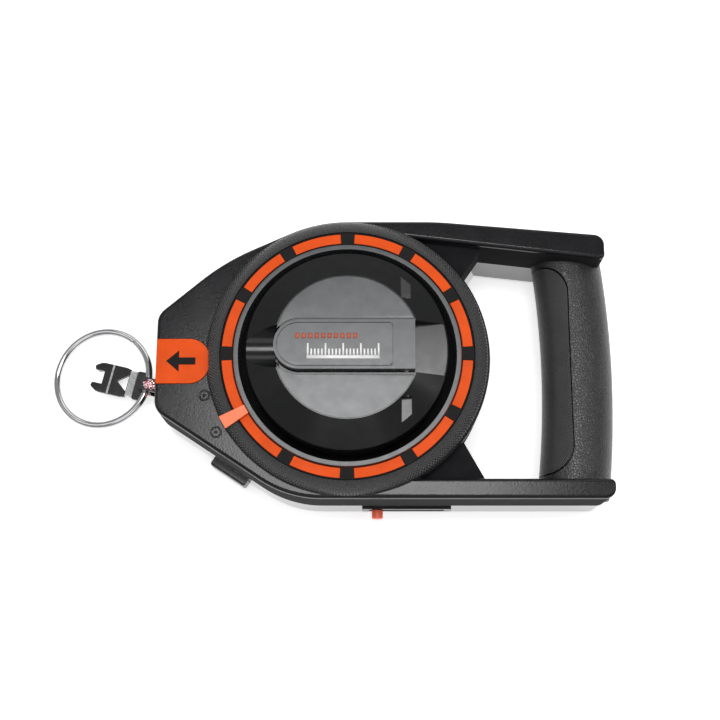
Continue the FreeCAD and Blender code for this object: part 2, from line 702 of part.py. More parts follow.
# ---- crank -------------------------------------------------------------------------------
def channel(grow, z0, z1):
    half = CHANNEL_W / 2 + grow
    tip = HANDLE_TIP_X + HANDLE_W / 2
    return box(tip, 70, -half, half, z0, z1).fuse(cyl(half, z0, z1, tip, 0))


def hinge_slots(grow, y0, z0, z1):
    half = SLOT_W / 2 + grow
    return [box(HINGE_X - half, HINGE_X + half, a, b, z0, z1) for a, b in ((-60, -y0), (y0, 60))]


def crank_hub():
    outer = turned([(0, HUB_SKIRT_Z), (HUB_EDGE_R, HUB_SKIRT_Z), (HUB_EDGE_R, HUB_EDGE_Z),
                    (HUB_TOP_R, HUB_TOP_Z), (0, HUB_TOP_Z)])
    w = HUB_WALL
    inner = turned([(HUB_STEM_R, HUB_SKIRT_Z - 1), (HUB_EDGE_R - w, HUB_SKIRT_Z - 1),
                    (HUB_EDGE_R - w, HUB_EDGE_Z - 1.6), (HUB_TOP_R - 1.4, HUB_TOP_Z - w),
                    (HUB_STEM_R, HUB_TOP_Z - w)])
    kept = [channel(w, CHANNEL_Z - w, 90), box(-60, -30, -11, 11, 62.0, 90)]
    kept += hinge_slots(w, CHANNEL_W / 2, SLOT_Z - w, 90)
    body = outer.cut(inner.cut(kept))
    body = body.fuse(cyl(HUB_STEM_R, CARRIER_Z + CARRIER_T, CHANNEL_Z - 1))
    holes = [channel(0, CHANNEL_Z, 90), rod(SCOOP_R, 24, V(-60, 0, SCOOP_Z), X_AXIS)]
    holes += hinge_slots(0, HINGE_PIN_HALF, SLOT_Z, 90)
    holes += [rod(HINGE_PIN_R, 2 * HINGE_PIN_HALF, V(HINGE_X, -HINGE_PIN_HALF, HINGE_Z), Y_AXIS)]
    holes += [cyl(AXLE_R + RUNNING, 30, AXLE_TOP_Z + 0.3), cyl(2.3, 60, 72), cyl(5.3, 67.9, 72)]
    holes += [cyl(CARRIER_SCREW_R, 30, 48.0, s.x, s.y) for s in map(carrier_screw_place, range(3))]
    holes += [cyl(HUB_TOP_R - 0.6, HUB_TOP_Z - 0.8, 90).cut(channel(1.2, 60, 90))]
    return body.cut(holes)


def hub_cheeks():
    disc = cyl(HUB_TOP_R - 0.6, HUB_TOP_Z - 0.8, HUB_TOP_Z).cut([channel(1.2, 60, 90)])
    return Part.makeCompound(disc.Solids)


def crank_bush():
    return cyl(13.0, WELL_FLOOR_Z - 2.6, WELL_FLOOR_Z + 1.0).cut(cyl(HUB_STEM_R + RUNNING, 30, 60))


def hub_screw():
    shank = cyl(2.0, 52.0, 68.2)
    return shank.fuse(cyl(5.0, 68.2, CHANNEL_Z - 0.1)).cut(box(-4, 4, -0.6, 0.6, CHANNEL_Z - 0.9, 75))


def hinge_pin():
    return rod(HINGE_PIN_R, 2 * HINGE_PIN_HALF, V(HINGE_X, -HINGE_PIN_HALF, HINGE_Z), Y_AXIS)


def handle_plan(grow, x1, z0, z1):
    half = HANDLE_W / 2 + grow
    tip = HANDLE_TIP_X + HANDLE_W / 2
    return box(tip, x1, -half, half, z0, z1).fuse(cyl(half, z0, z1, tip, 0)).removeSplitter()


def label_plan(grow, z0, z1):
    half = HANDLE_W / 2 - 1.9 + grow
    tip = HANDLE_TIP_X + HANDLE_W / 2
    end_x = LABEL_END_X + grow
    straight = plate([(tip, -half, 0), (end_x, -half, 2.0), (end_x, half, 2.0), (tip, half, 0)], z0, z1)
    return straight.fuse(cyl(half, z0, z1, tip, 0)).removeSplitter()


def crank_handle():
    lower = handle_plan(0, HINGE_X, HANDLE_LOW_Z, HINGE_Z)
    upper = handle_plan(0, HINGE_X + HINGE_END, HINGE_Z, HANDLE_TOP_Z)
    knuckle = rod(HINGE_END, HANDLE_W, V(HINGE_X, -HANDLE_W / 2, HINGE_Z), Y_AXIS)
    body = upper.fuse([lower, knuckle]).removeSplitter()
    bore = rod(HINGE_PIN_R + RUNNING, 60, V(HINGE_X, -30, HINGE_Z), Y_AXIS)
    return body.cut([bore, label_plan(0.35, HANDLE_TOP_Z - 0.8, 90)])


def handle_plate():
    return label_plan(0, HANDLE_TOP_Z - 0.8, HANDLE_TOP_Z - 0.05)


# ---- lock --------------------------------------------------------------------------------
def lock_ring():
    r0, r1 = GROOVE_IN_R + RING_GAP, BEZEL_OUT_R - BEZEL_SKIRT_T - 0.1
    under = BEZEL_Z - BEZEL_T
    ring = cyl(r1, GROOVE_FLOOR_Z + RING_GAP, under).cut(cyl(r0, 0, 90))
    pads = windows(WINDOW_GAP, under - 0.5, BEZEL_Z - 0.1)
    return ring.cut(cam_slot()).fuse(pads).removeSplitter()


def cam_slot():
    """The blind slot under the ring that draws the bolt inward as the ring turns."""
    z0, z1 = GROOVE_FLOOR_Z - 1, BOLT_PIN_TOP + 0.4
    r = BOLT_PIN_R + 0.35
    steps = 6
    places = []
    for i in range(steps + 1):
        share = i / steps
        places.append(polar(BOLT_PIN_AT - BOLT_TRAVEL * share, BOLT_DEG + LOCK_TRAVEL_DEG * share))
    parts = [cyl(r, z0, z1, p.x, p.y) for p in places]
    for a, b in zip(places, places[1:]):
        side = V(b.y - a.y, a.x - b.x, 0)
        side.normalize()
        corners = [a + side * r, b + side * r, b - side * r, a - side * r]
        parts.append(prism([(c.x, c.y) for c in corners], z0, z1))
    return union(parts)


def lock_tab():
    z0 = RING_TOP_Z + 0.4
    z1 = z0 + TAB_T
    body = prism([(TAB_IN_R, -2.5), (TAB_OUT_R, -3.75), (TAB_OUT_R, 3.75), (TAB_IN_R, 2.5)], z0, z1)
    slope = prism([(TAB_IN_R - 1, z1), (TAB_OUT_R + 1, z1 - 1.1), (TAB_OUT_R + 1, z1 + 1)], -6, 6)
    slope.rotate(V(0, 0, 0), X_AXIS, 90)
    foot = TAB_IN_R + 0.8
    neck = prism([(foot, -2.2), (foot + 4.4, -2.6), (foot + 4.4, 2.6), (foot, 2.2)], BEZEL_Z - 0.1, z0)
    return spun(body.cut(slope).fuse(neck).removeSplitter(), TAB_DEG)


def lock_bolt():
    tip = box(TOOTH_R + 0.6, 71.0, -BOLT_TIP_W / 2, BOLT_TIP_W / 2, BOLT_Z0, BOLT_Z1)
    back = box(70.0, 78.0, -3.0, 3.0, BOLT_Z0, BOLT_Z1)
    arm = box(BOLT_PIN_AT - 2.0, 71.0, -2.0, 2.0, BOLT_Z1 - 0.1, BOLT_Z1 + 2.0)
    hole = cyl(BOLT_PIN_R, BOLT_Z1, 60, BOLT_PIN_AT, 0)
    return spun(tip.fuse([back, arm]).removeSplitter().cut(hole), BOLT_DEG)


def bolt_pin():
    return spun(cyl(BOLT_PIN_R, BOLT_Z1, BOLT_PIN_TOP, BOLT_PIN_AT, 0), BOLT_DEG)


# ---- brake button and drag slider ----------------------------------------------------------
def brake_button():
    half = THUMB_LEN / 2
    cap = wall_block(-half, half, -BUTTON_IN, THUMB_OUT, THUMB_Z0, THUMB_Z1)
    cap = cap.makeFillet(1.4, top_edges(cap))
    stem = wall_block(-3.8, 3.8, -8.0, -BUTTON_IN + 0.1, THUMB_Z0 + 2.2, THUMB_Z1 - 2.2)
    return cap.fuse(stem).removeSplitter()


def top_edges(block):
    """The edges round the face of a wall block that points outward."""
    outward = thumb_frame()[1]
    reach = max(v.Point.dot(outward) for v in block.Vertexes)
    return [e for e in block.Edges if all(abs(v.Point.dot(outward) - reach) < 1e-4 for v in e.Vertexes)]


def brake_shoe():
    block = wall_block(-7.5, 7.5, -24.0, -8.0, 5.0, TAPE_Z - TAPE_W / 2 - 0.35)
    return block.cut(cyl(FLANGE_R + BRAKE_TRAVEL + 0.5, 0, 30))


def brake_spring():
    """Two sprung legs inside the wall that push the button out."""
    spans = ((-14.6, -4.4), (4.4, 14.6))
    return Part.makeCompound([wall_block(a, b, -BUTTON_IN - 0.6, -BUTTON_IN, 8.0, 12.0) for a, b in spans])


def slide_track():
    y = -DISC_R
    half = TRACK_H / 2
    face = plate([(TRACK_X0, -half, 2.0), (TRACK_X1, -half, 2.0), (TRACK_X1, half, 2.0),
                  (TRACK_X0, half, 2.0)], 0, 1.3)
    face.rotate(V(0, 0, 0), X_AXIS, 90)
    face.translate(V(0, y, BRAKE_Z))
    return face.cut(slider_slot())


def slider_knob():
    y = -DISC_R - 1.3
    stem = rod(SLIDER_STEM_R, 8.0, V(BRAKE_X, -DISC_R + WALL + 1.0, BRAKE_Z), -Y_AXIS)
    knob = rod(SLIDER_R, SLIDER_OUT, V(BRAKE_X, y - 0.3, BRAKE_Z), -Y_AXIS)
    end_y = y - 0.3 - SLIDER_OUT
    knob = knob.makeFillet(0.9, [e for e in knob.Edges if abs(e.BoundBox.YMax - end_y) < 1e-3])
    return knob.fuse(stem).removeSplitter()


def slider_plate():
    y = -DISC_R + WALL + 0.4
    body = box(BRAKE_X - 6, BRAKE_X + 5, y, y + 2.0, BRAKE_Z - 4.5, BRAKE_Z + 4.5)
    return body.cut(rod(SLIDER_STEM_R, 8.0, V(BRAKE_X, y - 3, BRAKE_Z), Y_AXIS))


# ---- tape path ---------------------------------------------------------------------------
def tape_prism(t0, t1, half, z0, z1):
    """A straight band along the tape's way out, from t0 to t1 beyond where it leaves the pack."""
    at, away = tape_heading()
    side = V(-away.y, away.x, 0)
    corners = [at + away * t + side * s for t, s in ((t0, -half), (t1, -half), (t1, half), (t0, half))]
    return prism([(c.x, c.y) for c in corners], z0, z1)


def mouth_t():
    return (V(MOUTH[0], MOUTH[1], 0) - tape_heading()[0]).Length


def roller_places():
    at, away = tape_heading()
    side = V(-away.y, away.x, 0)
    middle = at + away * ROLLER_T
    gap = ROLLER_R + TAPE_T / 2 + 0.35
    return [middle + side * gap, middle - side * gap]


def guide_roller(i):
    p = roller_places()[i]
    z0, z1 = 6.4, 24.0
    waist = cyl(ROLLER_R, z0, z1, p.x, p.y)
    return waist.cut(cyl(ROLLER_PIN_R + RUNNING, 0, 40, p.x, p.y))


def roller_pins():
    return Part.makeCompound([cyl(ROLLER_PIN_R, 2.8, 26.0, p.x, p.y) for p in roller_places()])


def tape_way():
    return tape_prism(PATH_START, PATH_END, PATH_HALF, TAPE_Z - PATH_HALF_T, TAPE_Z + PATH_HALF_T)


def mouth_insert():
    return mouth_block(0.6).cut(tape_way())


def wiper_felts():
    t = mouth_t()
    band = tape_prism(t - 7.4, t - 4.0, PATH_HALF, TAPE_Z - PATH_HALF_T, TAPE_Z + PATH_HALF_T)
    return Part.makeCompound(band.cut(tape_prism(0, PATH_END, 0.6, 0, 40)).Solids)


def tape_lead():
    band = tape_prism(3.0, mouth_t() - 1.0, TAPE_T / 2, TAPE_Z - TAPE_W / 2, TAPE_Z + TAPE_W / 2)
    return band.cut(rivet_bodies())


def eye_place():
    at, away = tape_heading()
    return at + away * (mouth_t() + EYE_OUT), away


def end_clip():
    eye = eye_place()[0]
    t = mouth_t()
    z0, z1 = TAPE_Z - 5.5, TAPE_Z + 5.5
    leaf = tape_prism(t - 3.2, t + EYE_OUT, 1.05, z0, z1).cut(tape_prism(0, t - 1.0, TAPE_T / 2, 0, 40))
    barrel_ = cyl(2.6, z0, z1, eye.x, eye.y)
    return leaf.fuse(barrel_).cut([cyl(EYE_PIN_R, 0, 40, eye.x, eye.y)] + rivet_bodies())


def rivet_bodies():
    at, away = tape_heading()
    side = V(-away.y, away.x, 0)
    middle = at + away * (mouth_t() - 2.1)
    return [rod(0.6, 2.6, middle - side * 1.3 + V(0, 0, TAPE_Z + dz), side) for dz in (-3.5, 3.5)]


def clip_rivets():
    return Part.makeCompound(rivet_bodies())


def eye_pin():
    eye = eye_place()[0]
    return cyl(EYE_PIN_R, TAPE_Z - 8.0, TAPE_Z + 8.0, eye.x, eye.y)


def hook_space(shape):
    """Place a shape drawn with the eye at the origin and the hook pointing along +X."""
    eye, away = eye_place()
    shape.rotate(V(0, 0, 0), Z_AXIS, math.degrees(math.atan2(away.y, away.x)) + HOOK_TURN_DEG)
    shape.translate(V(eye.x, eye.y, 0))
    return shape


def hook_root():
    """A fork that holds the eye pin, the tunnel for the ring, and the broad end of the hook."""
    levels = ((TAPE_Z - 7.6, TAPE_Z - 5.8), (TAPE_Z + 5.8, TAPE_Z + 7.6))
    arms = [box(0, FORK_END, -EYE_ARM_R, EYE_ARM_R, a, b).fuse(cyl(EYE_ARM_R, a, b)) for a, b in levels]
    web = box(3.1, FORK_END, -EYE_ARM_R, EYE_ARM_R, levels[0][0], levels[1][1])
    half = ROOT_W / 2
    shoulder = plate([(ROOT_START, -half, 1.5), (ROOT_END, -half, 1.0), (ROOT_END, half, 1.0),
                      (ROOT_START, half, 1.5)], HOOK_Z - HOOK_T / 2, TUNNEL_Z - RING_WIRE_R - 0.8)
    body = web.fuse(arms + [shoulder]).removeSplitter()
    tunnel = rod(RING_WIRE_R + 0.55, 20, V(TUNNEL_AT, -10, TUNNEL_Z), Y_AXIS)
    pin = cyl(EYE_PIN_R + RUNNING, 0, 40)
    return hook_space(body.cut([tunnel, pin]))


def hook_sleeve():
    half = SLEEVE_W / 2
    band = box(ROOT_END, ROOT_END + SLEEVE_LEN, -half, half, HOOK_Z - 2.2, HOOK_Z + 2.4)
    band = band.makeFillet(1.6, [e for e in band.Edges if e.BoundBox.XLength > SLEEVE_LEN - 0.1])
    return hook_space(band)


def hook_blade():
    """A flat blade with one opening, a notched tip and two claws that turn down."""
    x0, x1, w = ROOT_END + SLEEVE_LEN, HOOK_TIP, HOOK_W / 2
    low, high = HOOK_Z - HOOK_T / 2, HOOK_Z + HOOK_T / 2
    notch_x = x1 - NOTCH_LEN
    edge = [(x0, -w + 0.6), (x0 + 3, -w), (x1 - 5.4, -w), (x1 - 3.2, -w + 0.5), (x1 - 0.6, -w + 2.2),
            (x1, -w + 3.2), (x1 - 0.8, -NOTCH_HALF), (notch_x, -NOTCH_HALF)]
    body = prism(edge + [(x, -y) for x, y in reversed(edge)], low, high)
    claws = [box(x1 - 3.4, x1 - 1.2, a, b, low - 2.9, HOOK_Z)
             for a, b in ((-w + 2.0, -NOTCH_HALF), (NOTCH_HALF, w - 2.0))]
    base = x0 + 0.5
    opening = prism([(base, -OPENING_HALF), (base, OPENING_HALF), (base + OPENING_LEN, 0.0)], 0, 20)
    return hook_space(body.fuse(claws).cut(opening).removeSplitter())


def hook_bar():
    top = HOOK_Z + HOOK_T / 2
    half = HOOK_W / 2 - 0.3
    return hook_space(box(BAR_AT, BAR_AT + BAR_LEN, -half, half, top, top + BAR_T))


def end_ring():
    ring = Part.makeTorus(RING_R, RING_WIRE_R)
    ring.translate(V(TUNNEL_AT + RING_R, 0, TUNNEL_Z))
    ring.rotate(V(TUNNEL_AT, 0, TUNNEL_Z), Y_AXIS, RING_TILT_DEG)
    return hook_space(ring)


def main():
    os.makedirs("parts", exist_ok=True)
    makers = [rear_shell, front_shell, well_liner, bezel_ring, nose_badge, badge_mark, case_screws,
              grip_core, finger_pad, grip_rod, axle, ring_gear, ring_screws, crank_bush, hub_screw,
              spool_core, rear_flange, ratchet_flange, tape_pack, sun_gear, spool_bush,
              planet_carrier, planet_pins, pin_clips, carrier_screws, crank_hub, hub_cheeks, hinge_pin,
              crank_handle, handle_plate, lock_ring, lock_tab, lock_bolt, bolt_pin, brake_button,
              brake_shoe, brake_spring, slide_track, slider_knob, slider_plate, roller_pins,
              mouth_insert, wiper_felts, tape_lead, end_clip, clip_rivets, eye_pin, hook_root,
              hook_sleeve, hook_blade, hook_bar, end_ring]
    for maker in makers:
        save(maker.__name__, maker())
    for i in range(PLANETS):
        save(f"planet_gear_{i + 1}", planet_gear(i))
    for i in range(2):
        save(f"guide_roller_{i + 1}", guide_roller(i))


main()
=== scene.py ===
import json
import math

import bmesh
import bpy
from mathutils import Matrix, Vector

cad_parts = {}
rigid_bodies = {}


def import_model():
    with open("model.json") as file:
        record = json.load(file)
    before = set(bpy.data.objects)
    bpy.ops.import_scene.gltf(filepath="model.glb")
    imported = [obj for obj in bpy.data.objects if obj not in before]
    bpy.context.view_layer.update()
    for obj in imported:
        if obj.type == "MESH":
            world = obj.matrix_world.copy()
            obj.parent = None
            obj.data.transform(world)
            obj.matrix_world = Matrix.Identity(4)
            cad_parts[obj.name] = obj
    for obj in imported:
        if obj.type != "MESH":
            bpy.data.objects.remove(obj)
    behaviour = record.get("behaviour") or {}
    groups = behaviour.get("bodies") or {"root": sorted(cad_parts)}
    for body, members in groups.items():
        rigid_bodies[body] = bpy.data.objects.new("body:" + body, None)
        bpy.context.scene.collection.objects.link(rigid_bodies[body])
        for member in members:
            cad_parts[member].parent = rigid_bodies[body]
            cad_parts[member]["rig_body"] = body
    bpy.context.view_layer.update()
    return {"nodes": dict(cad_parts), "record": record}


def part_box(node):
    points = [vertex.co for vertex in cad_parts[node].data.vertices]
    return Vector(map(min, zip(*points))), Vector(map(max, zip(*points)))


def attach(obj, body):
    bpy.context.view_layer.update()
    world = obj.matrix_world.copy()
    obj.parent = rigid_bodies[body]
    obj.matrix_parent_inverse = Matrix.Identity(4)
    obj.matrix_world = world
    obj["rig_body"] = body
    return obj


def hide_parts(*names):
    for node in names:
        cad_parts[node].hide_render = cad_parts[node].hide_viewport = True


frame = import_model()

MM = 0.001
nodes = frame["nodes"]

# ---- places worked out from the frame -----------------------------------------------------
FRONT_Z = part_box("nose_badge")[1][2] - 0.5 * MM       # flat front of the case
CAP_TOP_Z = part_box("handle_plate")[1][2]              # top of the label plate on the handle

# ---- the case's surface, in mm from the spool's axis --------------------------------------
RING_STARTS, RING_ENDS = (69.0, 69.8), (76.4, 77.6)   # radii where the ring's grain and its painted sheen fade in and out
RING_MID_R = 73.0                                     # where the dots are square
RING_DOTS = 270                                       # grain dots in one turn of the raised ring
WALL_DEPTH = (3.4, 2.4)                               # under the front, where the rough wall fades in

# ---- print on the handle's plate, in mm from the spool's axis -----------------------------
PRINT_SINK, PRINT_RISE = 0.10, 0.06
RULE_X, RULE_Y = (-21.3, 17.2), (-8.0, -6.2)
TICKS, TICK_X, TICK_STEP, TICK_HALF = 21, -20.7, 1.87, 0.45
TICK_FOOT, TICK_SHORT, TICK_LONG, LONG_EVERY = -6.3, -2.6, 0.4, 5
DASHES, DASH_X, DASH_STEP, DASH_LENGTH, DASH_Y = 10, -27.4, 3.4, 2.3, (3.0, 6.0)

# ---- round marks beside the lock tab: turn in degrees and radius, then profiles, in mm ----
MARK_PLACES = ((196.0, 80.8), (211.0, 82.6))
MARK_RIM = ((2.0, -0.3), (2.3, 0.25), (2.7, 0.40), (3.1, 0.25), (3.4, -0.3))
MARK_DOT = ((0.05, -0.3), (0.05, 0.30), (0.7, 0.25), (1.1, -0.3))

# ---- split in the end ring, and the crinkled tape end -------------------------------------
SPLIT_TURN, SPLIT_WIDTH, SPLIT_DEPTH = math.radians(50), 0.012, 0.16
WRAP_HALF = (4.4, 3.3, 1.9)                           # half sizes along, across and up, in mm
WRAP_AHEAD, WRAP_Z = 2.6, 21.9                        # past the hook's eye and above the rear face, in mm

# ---- camera -------------------------------------------------------------------------------
LEAN = math.radians(14.18)
DISTANCE = 0.6887
AIM_X, AIM_Y = 0.00687, -0.00242
LENS_MM, SENSOR_MM = 62.95, 36.0

# ---- lamps: place, what they point at, size, power ----------------------------------------
LAMPS = {
    "overhead": ((0.015, 0.155, 1.30), (0.015, 0.0, 0.05), (0.50, 0.35), 6.5),
    "front": ((0.0, -0.75, 1.15), (0, 0, 0.03), (1.0, 0.5), 2.0),
    "back": ((0.0, 0.95, 0.80), (0, 0, 0.03), (1.2, 0.4), 2.4),
    "left": ((-0.75, 0.0, 1.15), (0, 0, 0.03), (0.5, 0.9), 1.8),
    "right": ((0.80, 0.0, 1.05), (0, 0, 0.03), (0.5, 0.9), 2.6),
}
SKY, FLOOR_GLOW, FLOOR_SIZE = 0.40, 0.55, 40.0


# ---- node material helpers ----------------------------------------------------------------
class Finish:
    """A procedural material whose pattern is laid out in the row frame, in metres."""

    def __init__(self, name, color, roughness, metallic=0.0, specular=0.5):
        self.mat = bpy.data.materials.new(name)
        self.mat.use_nodes = True
        self.tree = self.mat.node_tree
        self.tree.nodes.clear()
        self.out = self.add("ShaderNodeOutputMaterial")
        self.shader = self.add("ShaderNodeBsdfPrincipled")
        self.link(self.shader.outputs["BSDF"], self.out.inputs["Surface"])
        self.shader.inputs["Base Color"].default_value = (*color, 1)
        self.shader.inputs["Roughness"].default_value = roughness
        self.shader.inputs["Metallic"].default_value = metallic
        self.shader.inputs["Specular IOR Level"].default_value = specular
        self.coords = self.add("ShaderNodeTexCoord").outputs["Object"]
        self.normal = None

    def add(self, kind, **values):
        node = self.tree.nodes.new(kind)
        for key, value in values.items():
            setattr(node, key, value)
        return node

    def link(self, a, b):
        self.tree.links.new(a, b)

    def stretched(self, scale):
        node = self.add("ShaderNodeMapping")
        self.link(self.coords, node.inputs["Vector"])
        node.inputs["Scale"].default_value = scale
        return node.outputs["Vector"]

    def noise(self, size_mm, detail=3.0, roughness=0.55, vector=None):
        node = self.add("ShaderNodeTexNoise")
        self.link(vector or self.coords, node.inputs["Vector"])
        node.inputs["Scale"].default_value = 1.0 / (size_mm * MM)
        node.inputs["Detail"].default_value = detail
        node.inputs["Roughness"].default_value = roughness
        return node.outputs["Fac"]

    def cells(self, size_mm, feature="F1"):
        node = self.add("ShaderNodeTexVoronoi", feature=feature)
        self.link(self.coords, node.inputs["Vector"])
        node.inputs["Scale"].default_value = 1.0 / (size_mm * MM)
        return node.outputs["Distance"]

    def math(self, operation, a, b=None):
        node = self.add("ShaderNodeMath", operation=operation)
        for socket, value in zip(node.inputs, (a, b)):
            if value is None:
                continue
            if isinstance(value, (int, float)):
                socket.default_value = value
            else:
                self.link(value, socket)
        return node.outputs[0]

    def times(self, a, b):
        return self.math("MULTIPLY", a, b)

    def plus(self, a, b):
        return self.math("ADD", a, b)

    def remap(self, value, from_lo, from_hi, to_lo, to_hi):
        node = self.add("ShaderNodeMapRange")
        self.link(value, node.inputs["Value"])
        node.inputs["From Min"].default_value = from_lo
        node.inputs["From Max"].default_value = from_hi
        node.inputs["To Min"].default_value = to_lo
        node.inputs["To Max"].default_value = to_hi
        return node.outputs["Result"]

    def mix(self, factor, a, b):
        node = self.add("ShaderNodeMix", data_type="RGBA")
        self.link(factor, node.inputs["Factor"])
        for socket, value in ((node.inputs["A"], a), (node.inputs["B"], b)):
            if isinstance(value, tuple):
                socket.default_value = (*value, 1)
            else:
                self.link(value, socket)
        return node.outputs["Result"]

    def axis(self, which):
        node = self.add("ShaderNodeSeparateXYZ")
        self.link(self.coords, node.inputs["Vector"])
        return node.outputs[which]

    def radius(self):
        """Distance from the spool's axis."""
        x, y = self.axis("X"), self.axis("Y")
        return self.math("SQRT", self.plus(self.times(x, x), self.times(y, y)))

    def angle(self):
        """Turn about the spool's axis, in radians."""
        return self.math("ARCTAN2", self.axis("Y"), self.axis("X"))

    def wave(self, value, rate):
        return self.math("SINE", self.times(value, rate))

    def color(self, value):
        self.link(value, self.shader.inputs["Base Color"])

    def roughness(self, value):
        self.link(value, self.shader.inputs["Roughness"])

    def bump(self, height, depth_mm, strength):
        """Each bump is laid over the one before it."""
        node = self.add("ShaderNodeBump")
        node.inputs["Strength"].default_value = strength
        node.inputs["Distance"].default_value = depth_mm * MM
        self.link(height, node.inputs["Height"])
        if self.normal:
            self.link(self.normal, node.inputs["Normal"])
        self.normal = node.outputs["Normal"]
        self.link(self.normal, self.shader.inputs["Normal"])

    def blotches(self, dark, light, size_mm, detail=4.0, lo=0.35, hi=0.65):
        return self.mix(self.remap(self.noise(size_mm, detail), lo, hi, 0, 1), dark, light)

    def mottled(self, dark, light, size_mm):
        self.color(self.blotches(dark, light, size_mm))

    def uneven(self, size_mm, detail, lo, hi, top=0.7):
        """Roughness that wanders between two values."""
        return self.remap(self.noise(size_mm, detail), 0.3, top, lo, hi)


def scaled(color, factor):
    return tuple(c * factor for c in color)


def turns_per(size_mm):
    """Rate of a sine with one wave every size_mm."""
    return 2 * math.pi / (size_mm * MM)


# ---- finishes -----------------------------------------------------------------------------
def case_plastic():
    """Moulded nylon with a fine grain: dotted on the raised ring, rougher down the side walls; the raised
    ring's light grey is a painted sheen.
    """
    f = Finish("case_plastic", (0.007, 0.007, 0.008), 0.18, specular=0.26)
    r = f.radius()
    inner = f.remap(r, RING_STARTS[0] * MM, RING_STARTS[1] * MM, 0, 1)
    outer = f.remap(r, RING_ENDS[0] * MM, RING_ENDS[1] * MM, 1, 0)
    above = f.remap(f.axis("Z"), FRONT_Z - 0.5 * MM, FRONT_Z + 0.2 * MM, 0, 1)
    ring = f.times(f.times(inner, outer), above)
    patches = f.blotches((0.0055, 0.0055, 0.0065), (0.0085, 0.0085, 0.0100), 9.0)
    # painted sheen: the raised ring is painted light grey, standing in for the light its dotted grain
    # catches
    f.color(f.mix(ring, patches, (0.056, 0.056, 0.058)))
    wall = f.remap(f.axis("Z"), FRONT_Z - WALL_DEPTH[0] * MM, FRONT_Z - WALL_DEPTH[1] * MM, 0.78, 0)
    f.roughness(f.plus(f.uneven(14.0, 3.0, 0.15, 0.19), wall))
    f.bump(f.noise(0.9, 2.0, 0.5), 0.050, 1.0)
    around = f.wave(f.angle(), RING_DOTS)
    outward = f.wave(r, RING_DOTS / (RING_MID_R * MM))
    dots = f.plus(f.times(around, outward), f.noise(1.2, 2.0))
    f.bump(f.times(dots, ring), 0.42, 1.0)
    return f.mat


def gloss_black(name, base, rough, coat=0.0):
    f = Finish(name, (base, base, base * 1.05), rough)
    f.mottled((base * 0.8,) * 3, (base * 1.3,) * 3, 12.0)
    f.roughness(f.uneven(3.0, 5.0, rough, rough + 0.05, 0.75))
    f.shader.inputs["Coat Weight"].default_value = coat
    f.shader.inputs["Coat Roughness"].default_value = 0.05
    f.bump(f.noise(0.40, 2.0), 0.001, 0.4)
    return f.mat


def satin(name, base, rough, grain_mm=0.30, depth_mm=0.02, specular=0.5):
    f = Finish(name, (base,) * 3, rough, specular=specular)
    f.mottled((base * 0.86, base * 0.89, base * 0.93), (base * 1.06, base * 1.10, base * 1.15), 7.0)
    f.roughness(f.uneven(5.0, 4.0, rough - 0.03, rough + 0.04))
    f.bump(f.noise(grain_mm, 2.0, 0.6), depth_mm, 0.5)
    return f.mat


def tinted_plastic(name, color, rough=0.34, specular=0.5):
    f = Finish(name, color, rough, specular=specular)
    f.mottled(scaled(color, 0.90), scaled(color, 1.05), 10.0)
    f.roughness(f.uneven(4.0, 4.0, rough - 0.04, rough + 0.07))
    f.bump(f.noise(0.35, 2.0), 0.003, 0.5)
    return f.mat


def metal(name, color, rough, brush=(1, 1, 1), depth_mm=0.01):
    f = Finish(name, color, rough, metallic=1.0)
    lines = f.noise(0.5, 3.0, 0.6, f.stretched(brush))
    f.color(f.blotches(scaled(color, 0.90), color, 6.0, 3.0, 0.3, 0.7))
    f.roughness(f.remap(lines, 0.3, 0.7, rough * 0.8, rough * 1.3))
    f.bump(lines, depth_mm, 0.5)
    return f.mat


def crossed(f, a, b, size_mm):
    """Two sets of parallel ridges that cross in diamonds."""
    rate = turns_per(size_mm)
    return f.plus(f.wave(f.plus(a, b), rate), f.wave(f.math("SUBTRACT", a, b), rate))


def knurled(name, color):
    """Steel with a fine crossed knurl."""
    f = Finish(name, color, 0.5, metallic=1.0)
    f.mottled(scaled(color, 0.7), color, 1.2)
    f.bump(crossed(f, f.axis("Y"), f.axis("X"), 0.9), 0.10, 0.8)
    return f.mat


def leather():
    """Soft grip skin with a leather grain."""
    f = Finish("grip_rubber", (0.016, 0.016, 0.018), 0.36)
    creases = f.math("MINIMUM", f.times(f.cells(1.5, "DISTANCE_TO_EDGE"), 3.0), 0.5)
    fine = f.times(f.cells(0.7, "SMOOTH_F1"), 0.5)
    f.mottled((0.013, 0.013, 0.014), (0.018, 0.018, 0.019), 12.0)
    f.roughness(f.uneven(8.0, 3.0, 0.30, 0.38))
    f.bump(f.plus(creases, fine), 0.20, 0.9)
    return f.mat


def diamonds():
    """The finger pad's fine raised diamonds."""
    f = Finish("pad_rubber", (0.020, 0.020, 0.021), 0.33)
    across = f.plus(f.axis("X"), f.axis("Z"))
    f.mottled((0.018, 0.018, 0.019), (0.024, 0.024, 0.025), 14.0)
    f.bump(crossed(f, f.axis("Y"), across, 1.5), 0.07, 0.9)
    return f.mat


def woven_tape():
    f = Finish("tape_yellow", (0.80, 0.52, 0.04), 0.5)
    f.mottled((0.62, 0.40, 0.03), (0.84, 0.57, 0.06), 5.0)
    f.bump(f.times(f.wave(f.axis("Z"), turns_per(0.8)), 0.5), 0.05, 0.6)
    return f.mat


def felt():
    f = Finish("felt", (0.2, 0.2, 0.19), 0.9)
    f.mottled((0.12, 0.12, 0.12), (0.3, 0.3, 0.29), 0.6)
    f.bump(f.noise(0.3, 4.0), 0.15, 0.9)
    return f.mat


